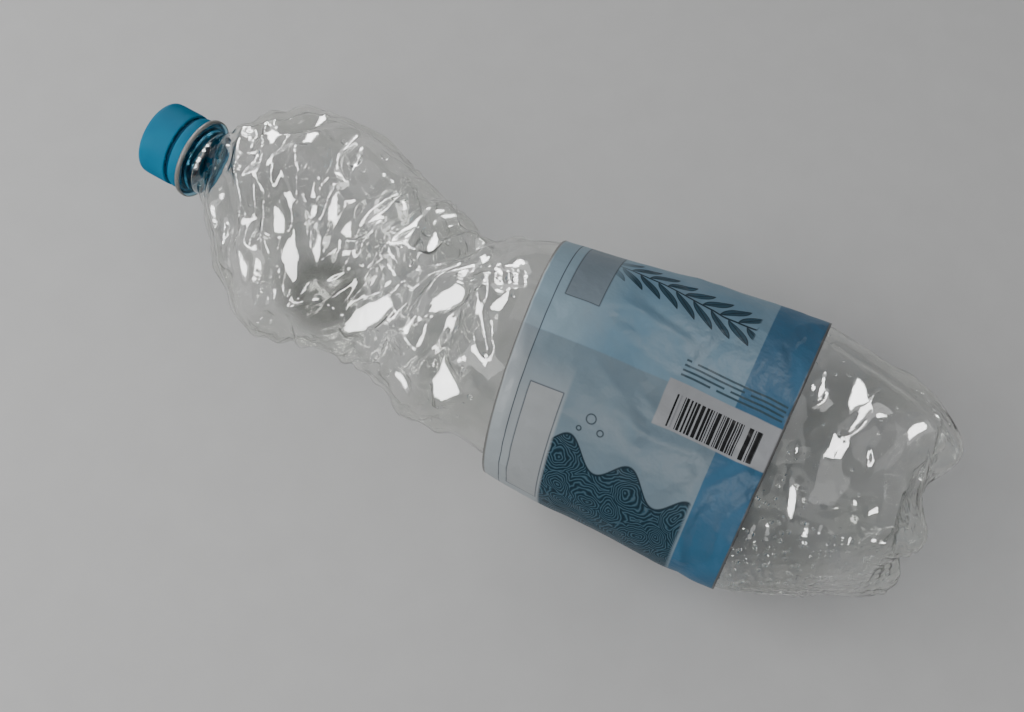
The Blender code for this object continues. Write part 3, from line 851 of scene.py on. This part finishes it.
# ---------------------------------------------------------------- cap
# The screw cap is moulded in one blue plastic, with a rounded end, fine ribs for grip
# and a ring inside that plugs the bore. Torn bridges stand at its open edge.
CAP_RADIUS = 14.95 * MM
CAP_LENGTH = 12.9 * MM
CAP_ROUNDING = 1.9 * MM
CAP_INSIDE = 13.95 * MM
CAP_RIBS = 120
RIB_HEIGHT = 0.07 * MM
BRIDGES = 12


def rounding(depth, radius, size, start, end, steps=6):
    """Depths and radii along a quarter circle about a middle."""
    angles = [math.radians(start + (end - start) * step / steps) for step in range(steps + 1)]
    return [(depth - size * math.cos(angle), radius + size * math.sin(angle)) for angle in angles]


cap_outline = [(0.35 * MM, 1e-7), (0.35 * MM, 9.8 * MM), (0.15 * MM, 10.6 * MM), (0.0, 11.4 * MM)]
cap_outline += rounding(CAP_ROUNDING, CAP_RADIUS - CAP_ROUNDING, CAP_ROUNDING, 0, 90)
cap_outline += [
    (2.6 * MM, CAP_RADIUS), (3.0 * MM, CAP_RADIUS), (11.8 * MM, CAP_RADIUS),
    (12.2 * MM, CAP_RADIUS), (CAP_LENGTH - 0.25 * MM, CAP_RADIUS), (CAP_LENGTH, CAP_RADIUS - 0.25 * MM),
    (CAP_LENGTH, CAP_INSIDE + 0.1 * MM), (CAP_LENGTH - 0.3 * MM, CAP_INSIDE),
    (2.1 * MM, CAP_INSIDE), (1.5 * MM, CAP_INSIDE - 0.6 * MM), (1.5 * MM, 10.5 * MM),
    (3.9 * MM, 10.5 * MM), (4.2 * MM, 10.2 * MM), (4.2 * MM, 9.7 * MM), (3.9 * MM, 9.5 * MM),
    (1.5 * MM, 9.5 * MM), (1.5 * MM, 1e-7),
]


def add_bridges(builder, depth, radius, length):
    """The torn stubs of the bridges that once joined the cap to its tamper band."""
    for number in range(BRIDGES):
        angle = TURN * (number + 0.3) / BRIDGES
        place = Matrix.Rotation(angle, 4, "Z") @ Matrix.Translation((radius, 0, -depth))
        stub = bmesh.ops.create_cube(
            builder, size=1.0, matrix=place @ Matrix.Diagonal((0.5 * MM, 0.7 * MM, length, 1.0))
        )
        edges = list({edge for vert in stub["verts"] for edge in vert.link_edges})
        bmesh.ops.bevel(
            builder, geom=edges, offset=0.12 * MM, offset_type="OFFSET", segments=2, profile=0.5,
            affect="EDGES", material=-1,
        )


def make_blue_plastic(name, colour, shade):
    """Moulded plastic: nearly even blue, satin, with a faint grain."""
    material, nodes, links, shader = new_material(name, colour, 0.55, 0.035)
    clouds = noise_texture(nodes, links, 90.0, 3.0)
    links.new(
        colour_ramp(nodes, links, clouds.outputs["Fac"], [(0.35, shade), (0.65, colour)]),
        shader.inputs["Base Color"],
    )
    grain = noise_texture(nodes, links, 2200.0, 3.0)
    bump(nodes, links, grain.outputs["Fac"], shader, 0.15, 0.0001)
    return material


blue_plastic = make_blue_plastic("cap_blue_plastic", (0.007, 0.205, 0.355), (0.006, 0.18, 0.325))
builder = turned(cap_outline, 2 * CAP_RIBS, closed=False)
for vert in builder.verts:
    radius = math.hypot(vert.co.x, vert.co.y)
    if radius > CAP_RADIUS - 0.02 * MM and 2.9 * MM < -vert.co.z < 11.9 * MM:
        column = round(math.atan2(vert.co.y, vert.co.x) / TURN * 2 * CAP_RIBS)
        change = RIB_HEIGHT if column % 2 else -RIB_HEIGHT
        vert.co.x *= 1 + change / radius
        vert.co.y *= 1 + change / radius
add_bridges(builder, CAP_LENGTH + 0.1 * MM, 14.55 * MM, 0.5 * MM)
finish_turned("cap_shell", builder, blue_plastic, "cap", "cap")


# Seen through the neck, the inside of the cap glows with light that comes through it; that light is
# painted here as a brighter blue sheet inside the skirt.
SKIRT_OUTLINE = (
    (2.0 * MM, CAP_INSIDE - 0.02 * MM), (CAP_LENGTH - 0.5 * MM, CAP_INSIDE - 0.02 * MM),
    (CAP_LENGTH - 0.5 * MM, CAP_INSIDE - 0.12 * MM), (2.0 * MM, CAP_INSIDE - 0.12 * MM),
)
painted_glow_plastic = make_blue_plastic("painted_glow_blue_plastic", (0.01, 0.42, 0.78), (0.01, 0.36, 0.70))
builder = turned(SKIRT_OUTLINE, 96)
finish_turned("cap_inside", builder, painted_glow_plastic, "cap", "cap")


# ---------------------------------------------------------------- tamper band
# The band tore off the cap when the bottle was first opened and stayed on the neck,
# held by the bead. It is the cap's plastic, and turns freely.
LIP_OUTLINE = (  # depth from the cap's top and radius
    (15.3 * MM, 13.9 * MM), (13.3 * MM, 13.9 * MM), (13.3 * MM, 14.05 * MM), (15.3 * MM, 14.1 * MM),
)
BAND_OUTLINE = (
    (14.75 * MM, 14.2 * MM), (14.65 * MM, 14.5 * MM), (14.75 * MM, 14.7 * MM), (15.2 * MM, 14.82 * MM),
    (18.2 * MM, 14.6 * MM), (18.7 * MM, 14.5 * MM), (18.9 * MM, 14.3 * MM), (18.9 * MM, 13.6 * MM),
    (18.6 * MM, 13.4 * MM), (17.0 * MM, 13.15 * MM), (16.2 * MM, 13.2 * MM), (15.6 * MM, 13.5 * MM),
    (15.3 * MM, 14.1 * MM),
)
builder = turned(BAND_OUTLINE, 192)
finish_turned("tamper_ring", builder, blue_plastic, "tamper_band", "tamper_band")

# The band's thin lip stands in the gap to the cap; its navy is painted shade, for the little light that
# gets into the gap.
painted_shade_navy = make_blue_plastic("shaded_blue_plastic", (0.001, 0.055, 0.115), (0.001, 0.04, 0.09))
builder = turned(LIP_OUTLINE, 192)
finish_turned("tamper_lip", builder, painted_shade_navy, "tamper_band", "tamper_band")


# ---------------------------------------------------------------- label
# A loose sleeve of thin printed film, lapped and glued along its length. It hangs a
# little askew at the cap's side, and is faintly creased. Its print is plain fields of
# blue with framed panels, stripes and drawn waves.
FILM = 0.12 * MM
FILM_SOFTEN = 10
SLEEVE_MIDDLE = Vector((0.0, -0.0105, 0.040))
PRINT_LENGTH = 95.0  # mm of print from the cap-side edge to the base-side edge
label_low, label_high = (Vector(corner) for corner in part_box("label"))
film = bmesh.new()
film.from_mesh(frame["nodes"]["label"].data)
bmesh.ops.remove_doubles(film, verts=film.verts, dist=1e-6)
film.normal_update()
inner_faces = [
    face for face in film.faces
    if abs(face.normal.x) > 0.7
    or face.normal.dot((face.calc_center_median() - SLEEVE_MIDDLE) * Vector((0, 1, 1))) < 0
]
bmesh.ops.delete(film, geom=inner_faces, context="FACES")
bmesh.ops.subdivide_edges(film, edges=film.edges[:], cuts=5, use_grid_fill=True)
rim = [vert for vert in film.verts if vert.is_boundary]
rim_neighbours = {
    vert: [edge.other_vert(vert) for edge in vert.link_edges if edge.is_boundary] for vert in rim
}
loose = [vert for vert in film.verts if not vert.is_boundary]
for _ in range(FILM_SOFTEN):
    bmesh.ops.smooth_vert(
        film, verts=loose, factor=0.5, use_axis_x=True, use_axis_y=True, use_axis_z=True
    )
    moved = {vert: (a.co + b.co + 2 * vert.co) / 4 for vert, (a, b) in rim_neighbours.items()}
    for vert, place in moved.items():
        vert.co = place


def half_sizes(x):
    """The sleeve's middle Y and Z and its half width and half height near X."""
    near = [vert.co for vert in film.verts if abs(vert.co.x - x) < 6 * MM]
    low_y, high_y = min(co.y for co in near), max(co.y for co in near)
    low_z, high_z = min(co.z for co in near), max(co.z for co in near)
    return (low_y + high_y) / 2, (low_z + high_z) / 2, (high_y - low_y) / 2, (high_z - low_z) / 2


def length_table(half_width, half_height, steps=180):
    """The way round an ellipse in mm, from its lowest point through +Y, step by step."""
    table, last = [0.0], None
    for step in range(steps + 1):
        angle = TURN * step / steps
        point = Vector((half_width * math.sin(angle), -half_height * math.cos(angle)))
        if last is not None:
            table.append(table[-1] + (point - last).length / MM)
        last = point
    return table


label_length = label_high.x - label_low.x
stations = [label_low.x + share * label_length for share in (0.1, 0.35, 0.65, 0.9)]
sleeve_shapes = [half_sizes(x) for x in stations]
sleeve_tables = [length_table(width, height) for _, _, width, height in sleeve_shapes]


def way_round(co):
    """How far round the sleeve a place lies, in mm from its top, towards +Y."""
    values = []
    for (y, z, width, height), table in zip(sleeve_shapes, sleeve_tables):
        angle = math.atan2((co.y - y) / width, -(co.z - z) / height) % TURN
        place = angle / TURN * (len(table) - 1)
        step = min(int(place), len(table) - 2)
        length = table[step] + (place - step) * (table[step + 1] - table[step])
        values.append(table[len(table) // 2] - length)
    x = min(max(co.x, stations[0]), stations[-1])
    for left, right, value, next_value in zip(stations, stations[1:], values, values[1:]):
        if x <= right:
            share = (x - left) / (right - left)
            return value * (1 - share) + next_value * share
    return values[-1]


left_rim = [vert.co.copy() for vert in rim if vert.co.x < SPLIT_X + 0.01]
left_near = min(left_rim, key=lambda co: co.y)
left_far = max(left_rim, key=lambda co: co.y)


def way_along(co):
    """How far a place lies from the cap-side edge, in mm of print."""
    share = (co.y - left_near.y) / (left_far.y - left_near.y)
    edge = left_near.x + share * (left_far.x - left_near.x)
    return (co.x - edge) / (label_high.x - edge) * PRINT_LENGTH


film_map = film.loops.layers.uv.new("print")
for face in film.faces:
    rounds = [way_round(loop.vert.co) for loop in face.loops]
    for loop, around in zip(face.loops, rounds):
        if max(rounds) - min(rounds) > 100 and around < 0:
            around += sleeve_tables[0][-1]
        loop[film_map].uv = (way_along(loop.vert.co) / 100, around / 100)

# Single creases of the film: height and half width, then way along and round, in mm.
FILM_CREASES = (
    (0.6, 3.0, ((88, -24), (79, -36), (77, -52), (80, -66))),
    (-0.5, 3.0, ((95, -30), (88, -44), (90, -60))),
    (0.6, 4.0, ((2, -8), (6, -24), (5, -44))),
    (0.5, 4.5, ((30, -12), (44, -20), (50, -30))),
    (-0.5, 4.0, ((60, 4), (64, 18), (61, 30))),
    (0.5, 3.5, ((24, 10), (36, 14), (52, 10))),
    (0.5, 3.5, ((40, -24), (60, -28), (72, -26))),
    (-0.6, 4.0, ((92, 10), (86, 26), (90, 44))),
)
film.normal_update()
moves = []
for vert in film.verts:
    place = vert.co / MM
    wave = noise.noise_vector(place / 22.0) * 5.0
    long_fold = zigzag((place.x * 0.8 - place.y * 0.5 + wave.x) / 17.0)
    short_fold = zigzag((place.x * 0.3 + place.y * 0.9 + place.z * 0.5 + wave.y) / 11.0)
    sparse = max(0.0, noise.noise(place / 26.0 + Vector((3, 8, 2))) - 0.05)
    height = 0.35 * noise.noise(place / 30.0) + 1.0 * sparse * long_fold
    height += 0.8 * max(0.0, noise.noise(place / 17.0 + Vector((9, 1, 4)))) * short_fold
    printed = Vector((way_along(vert.co), way_round(vert.co)))
    height += crease_height(printed, FILM_CREASES)
    moves.append(vert.normal * (height * ease((place.z - 1.0) / 6) * MM))
for vert, move in zip(film.verts, moves):
    vert.co += move
for face in film.faces:
    face.smooth = True
label_film = new_piece("label_film", film)
thickness = label_film.modifiers.new("thickness", "SOLIDIFY")
thickness.thickness = FILM
thickness.offset = -1

material, nodes, links, shader = new_material("printed_film", (0.2, 0.3, 0.35), 0.40, 0.16)
film_place = nodes.new("ShaderNodeUVMap")
film_place.uv_map = "print"
film_axes = nodes.new("ShaderNodeSeparateXYZ")
links.new(film_place.outputs["UV"], film_axes.inputs["Vector"])


def math_node(operation, first, second=None, third=None):
    """A Math node on numbers or outputs of other nodes."""
    node = nodes.new("ShaderNodeMath")
    node.operation = operation
    for socket, value in zip(node.inputs, (first, second, third)):
        if value is None:
            continue
        if isinstance(value, (int, float)):
            socket.default_value = value
        else:
            links.new(value, socket)
    return node.outputs["Value"]


def past(value, edge, blur=0.25):
    """0 before an edge and 1 past it, in mm, with a blurred step."""
    node = nodes.new("ShaderNodeMapRange")
    node.inputs["From Min"].default_value = edge - blur
    node.inputs["From Max"].default_value = edge + blur
    links.new(value, node.inputs["Value"])
    return node.outputs["Result"]


def between(value, low, high, blur=0.25):
    """1 between two edges and 0 outside them, in mm."""
    return math_node("SUBTRACT", past(value, low, blur), past(value, high, blur))


def field(low_along, high_along, low_round, high_round, blur=0.25):
    """A rectangle of the print: 1 inside and 0 outside."""
    return math_node(
        "MULTIPLY",
        between(along_film, low_along, high_along, blur),
        between(round_film, low_round, high_round, blur),
    )


def paint(below, mask, colour):
    """A colour, or another node's colour, laid over what is below it where the mask is 1."""
    node = nodes.new("ShaderNodeMix")
    node.data_type = "RGBA"
    links.new(mask, node.inputs["Factor"])
    links.new(below, node.inputs["A"])
    if isinstance(colour, tuple):
        node.inputs["B"].default_value = (*colour, 1.0)
    else:
        links.new(colour, node.inputs["B"])
    return node.outputs["Result"]


along_film = math_node("MULTIPLY", film_axes.outputs["X"], 100.0)
round_film = math_node("MULTIPLY", film_axes.outputs["Y"], 100.0)

SILVER = (0.305, 0.345, 0.372)
NEAR_FIELD = (0.190, 0.262, 0.312)
FAR_FIELD = (0.186, 0.308, 0.402)
PANEL_GREY = (0.372, 0.380, 0.396)
NEAR_STRIP_AND_SHEEN = (0.380, 0.418, 0.438)
FAR_STRIP = (0.272, 0.384, 0.460)
INK = (0.002, 0.002, 0.003)
TEAL_INK = (0.005, 0.024, 0.040)
TEAL_LIGHT = (0.026, 0.085, 0.130)
LINE_GREY = (0.05, 0.06, 0.075)

clouds = noise_texture(nodes, links, 38.0, 4.0, 0.6)
near_colour = colour_ramp(
    nodes, links, clouds.outputs["Fac"],
    [(0.3, (0.164, 0.238, 0.294)), (0.5, NEAR_FIELD), (0.72, (0.214, 0.280, 0.325))],
)
far_colour = colour_ramp(
    nodes, links, clouds.outputs["Fac"],
    [(0.3, (0.150, 0.276, 0.380)), (0.5, FAR_FIELD), (0.72, (0.222, 0.332, 0.418))],
)
FIELD_EDGE = -7.5  # where the two fields meet, in mm round from the top of the sleeve
BAND_START = 76.8  # where the darker band starts, in mm along
EDGE_LINE = 6.7  # a thin line near the cap-side edge
base = paint(near_colour, past(round_film, FIELD_EDGE, 0.3), far_colour)

# Ripple rings below a wavy line, and three small rings above it.
ripples = nodes.new("ShaderNodeTexVoronoi")
ripples.voronoi_dimensions = "2D"
ripples.inputs["Scale"].default_value = 9.0
ripples.inputs["Randomness"].default_value = 0.75
swirl = nodes.new("ShaderNodeTexNoise")
swirl.inputs["Scale"].default_value = 7.0
swirl.inputs["Detail"].default_value = 3.0
links.new(film_place.outputs["UV"], swirl.inputs["Vector"])
swirled = nodes.new("ShaderNodeVectorMath")
swirled.operation = "MULTIPLY_ADD"
links.new(swirl.outputs["Color"], swirled.inputs[0])
swirled.inputs[1].default_value = (0.13, 0.13, 0.0)
links.new(film_place.outputs["UV"], swirled.inputs[2])
links.new(swirled.outputs["Vector"], ripples.inputs["Vector"])
rings = math_node("SINE", math_node("MULTIPLY", ripples.outputs["Distance"], 62.0))
ring_colour = colour_ramp(
    nodes, links, math_node("MULTIPLY_ADD", rings, 0.5, 0.5),
    [(0.0, TEAL_INK), (0.45, (0.012, 0.042, 0.062)), (0.8, TEAL_LIGHT), (1.0, (0.07, 0.13, 0.17))],
)
WAVE_HEIGHT, CREST_ROUND, CREST_MIDDLE, CREST_SLOPE = 4.5, -44.0, 44.0, -0.12
crest = math_node("SINE", math_node("MULTIPLY", along_film, 0.27))
crest = math_node("MULTIPLY_ADD", crest, WAVE_HEIGHT, CREST_ROUND)
slope = math_node("MULTIPLY", math_node("SUBTRACT", along_film, CREST_MIDDLE), CREST_SLOPE)
crest = math_node("ADD", crest, slope)
below_crest = math_node("SUBTRACT", 1.0, past(math_node("SUBTRACT", round_film, crest), 0.0, 0.4))
wave_part = between(along_film, 21.0, BAND_START - 1.0, 0.6)
base = paint(base, math_node("MULTIPLY", below_crest, wave_part), ring_colour)
crest_line = between(math_node("SUBTRACT", round_film, crest), -0.5, 0.4, 0.3)
base = paint(base, math_node("MULTIPLY", crest_line, wave_part), TEAL_INK)
for ring_along, ring_round, ring_size in ((34.0, -30.0, 1.9), (38.5, -33.5, 1.3), (31.0, -34.5, 1.0)):
    squares = [
        math_node("POWER", math_node("SUBTRACT", value, middle), 2.0)
        for value, middle in ((along_film, ring_along), (round_film, ring_round))
    ]
    distance = math_node("SQRT", math_node("ADD", *squares))
    base = paint(base, between(distance, ring_size - 0.45, ring_size, 0.2), TEAL_INK)

# A long leafy branch on the far field: a stem with slanted leaves on both sides.
STEM_ROUND, STEM_START, STEM_END, LEAF_LENGTH, LEAF_SPACING = 31.0, 19.0, 73.0, 9.5, 6.6
bend = math_node("MULTIPLY", math_node("SINE", math_node("MULTIPLY", along_film, 0.075)), 3.0)
off_stem = math_node("SUBTRACT", math_node("SUBTRACT", round_film, STEM_ROUND), bend)
from_stem = math_node("ABSOLUTE", off_stem)
side_shift = math_node("MULTIPLY", past(off_stem, 0.0, 0.01), LEAF_SPACING / 2)
slanted = math_node("ADD", math_node("MULTIPLY_ADD", from_stem, -1.05, along_film), side_shift)
in_leaf = math_node("SUBTRACT", math_node("FLOORED_MODULO", slanted, LEAF_SPACING), LEAF_SPACING / 2)
leaf_share = math_node("DIVIDE", from_stem, LEAF_LENGTH)
leaf_round = math_node("SINE", math_node("MULTIPLY", math_node("MINIMUM", leaf_share, 1.0), math.pi))
leaf_half = math_node("MULTIPLY", leaf_round, 2.6)
leaf_edge = math_node("SUBTRACT", leaf_half, math_node("ABSOLUTE", in_leaf))
branch = between(along_film, STEM_START, STEM_END, 0.5)
branch = math_node("MULTIPLY", branch, math_node("SUBTRACT", 1.0, past(leaf_share, 0.97, 0.02)))
leaf = math_node("MULTIPLY", past(leaf_edge, 0.1, 0.15), branch)
leaf_inside = math_node("MULTIPLY", past(leaf_edge, 0.55, 0.2), branch)
vein = math_node("SUBTRACT", 1.0, past(math_node("ABSOLUTE", in_leaf), 0.28, 0.12))
base = paint(base, leaf, TEAL_INK)
base = paint(base, leaf_inside, colour_ramp(
    nodes, links, clouds.outputs["Fac"], [(0.35, (0.016, 0.055, 0.085)), (0.65, TEAL_LIGHT)],
))
base = paint(base, math_node("MULTIPLY", vein, leaf_inside), TEAL_INK)
stem = math_node("MULTIPLY", math_node("SUBTRACT", 1.0, past(from_stem, 0.45, 0.15)), branch)
base = paint(base, stem, TEAL_INK)

# The darker band at the base side, the silvery strip at the other, and bare framed panels.
band_colour = colour_ramp(
    nodes, links, clouds.outputs["Fac"], [(0.3, (0.032, 0.122, 0.222)), (0.7, (0.046, 0.150, 0.262))]
)
base = paint(base, past(along_film, BAND_START, 0.2), band_colour)
far_strip = math_node("MULTIPLY", past(round_film, FIELD_EDGE, 0.3),
                      math_node("SUBTRACT", 1.0, past(along_film, 23.5, 6.0)))
base = paint(base, far_strip, FAR_STRIP)
strip = math_node("MULTIPLY", math_node("SUBTRACT", 1.0, past(along_film, EDGE_LINE, 0.2)),
                  math_node("SUBTRACT", 1.0, past(round_film, FIELD_EDGE, 12.0)))
base = paint(base, strip, SILVER)
# On the near side the strip reaches further and is paler: silvery print, with a painted sheen and
# painted light where the film turns down, away from the lamps.
near_side = math_node("SUBTRACT", 1.0, past(round_film, -24.0, 10.0))
near_strip_and_sheen = math_node("MULTIPLY", near_side, math_node("SUBTRACT", 1.0, past(along_film, 23.5, 0.6)))
base = paint(base, near_strip_and_sheen, NEAR_STRIP_AND_SHEEN)
base = paint(base, between(along_film, EDGE_LINE, EDGE_LINE + 0.35, 0.12), LINE_GREY)
FRAMED_PANELS = (  # from which way round to which, and the colour inside
    (8.0, 48.0, (0.20, 0.25, 0.29)),
    (-74.0, -25.0, (0.375, 0.395, 0.405)),
)
for low_round, high_round, pale in FRAMED_PANELS:
    base = paint(base, field(10.0, 22.5, low_round, high_round, 0.3), LINE_GREY)
    base = paint(base, field(10.35, 22.15, low_round + 0.35, high_round - 0.35, 0.12), pale)

# The panel of bars, whose widths are chance, and plain broken lines beside it.
base = paint(base, field(53.2, 96.0, -23.2, -5.8), PANEL_GREY)
bar_noise = nodes.new("ShaderNodeTexWhiteNoise")
bar_noise.noise_dimensions = "1D"
links.new(math_node("FLOOR", math_node("MULTIPLY", along_film, 3.1)), bar_noise.inputs["W"])
bars = past(bar_noise.outputs["Value"], 0.47, 0.02)
bars = math_node("MULTIPLY", bars, field(57.5, 89.5, -22.3, -10.2, 0.1))
base = paint(base, bars, INK)
line_noise = nodes.new("ShaderNodeTexWhiteNoise")
line_noise.noise_dimensions = "2D"
line_cell = nodes.new("ShaderNodeCombineXYZ")
links.new(math_node("FLOOR", math_node("MULTIPLY", along_film, 0.45)), line_cell.inputs["X"])
links.new(math_node("FLOOR", math_node("MULTIPLY", round_film, 0.5)), line_cell.inputs["Y"])
links.new(line_cell.outputs["Vector"], line_noise.inputs["Vector"])
line_part = math_node("FLOORED_MODULO", round_film, 2.0)
lines = math_node("MULTIPLY", between(line_part, 0.5, 1.35, 0.15), field(56.0, 93.0, -4.0, 4.0, 0.1))
lines = math_node("MULTIPLY", lines, past(line_noise.outputs["Value"], 0.12, 0.02))
base = paint(base, lines, (0.020, 0.060, 0.085))

# The film's clear margins look greyer, and the edges are scuffed.
base = paint(base, math_node("SUBTRACT", 1.0, past(along_film, 0.9, 0.2)), (0.16, 0.16, 0.155))
base = paint(base, past(along_film, PRINT_LENGTH - 0.8, 0.15), (0.19, 0.185, 0.185))
links.new(base, shader.inputs["Base Color"])
crinkle = noise_texture(nodes, links, 120.0, 3.0, 0.55)
bump(nodes, links, crinkle.outputs["Fac"], shader, 0.7, 0.0010)
label_film.data.materials.append(material)
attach(label_film, "bottle")
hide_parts("label")
